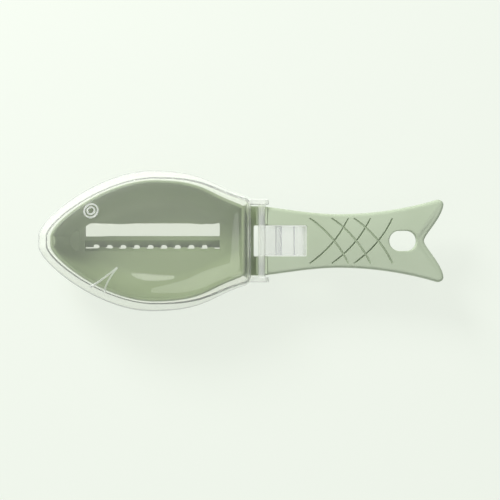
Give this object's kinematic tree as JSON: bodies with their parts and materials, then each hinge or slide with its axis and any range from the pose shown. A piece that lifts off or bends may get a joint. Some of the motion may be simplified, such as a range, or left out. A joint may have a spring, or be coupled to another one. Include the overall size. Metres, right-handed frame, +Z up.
{
  "type": "fish scaler",
  "caption": "Hand-held fish scaler: fish-shaped moulded base with a toothed slot in its bowl, a hinged clear lid with a press tab, and a tail-shaped handle.",
  "frame": {"origin": "bottom centre of the whole part's box, level with the tooth tips that it stands on", "axes": "+X from the nose to the tail, +Z up through the clear lid, +Y across to the side with the lid's eye"},
  "size_m": [0.24, 0.0832, 0.042],
  "materials": {
    "sage_plastic": "satin, fine moulded texture",
    "clear_plastic": "clear, polished"
  },
  "bodies": {
    "base": {"scaler_body": "sage_plastic"},
    "lid": {"clear_lid": "clear_plastic"}
  },
  "joints": [
    {"name": "lid_hinge", "type": "hinge", "parent": "base", "child": "lid", "pos_m": [0.0125, 0, 0.0265], "axis": [0, 1, 0], "range_deg": [0, 95]}
  ]
}
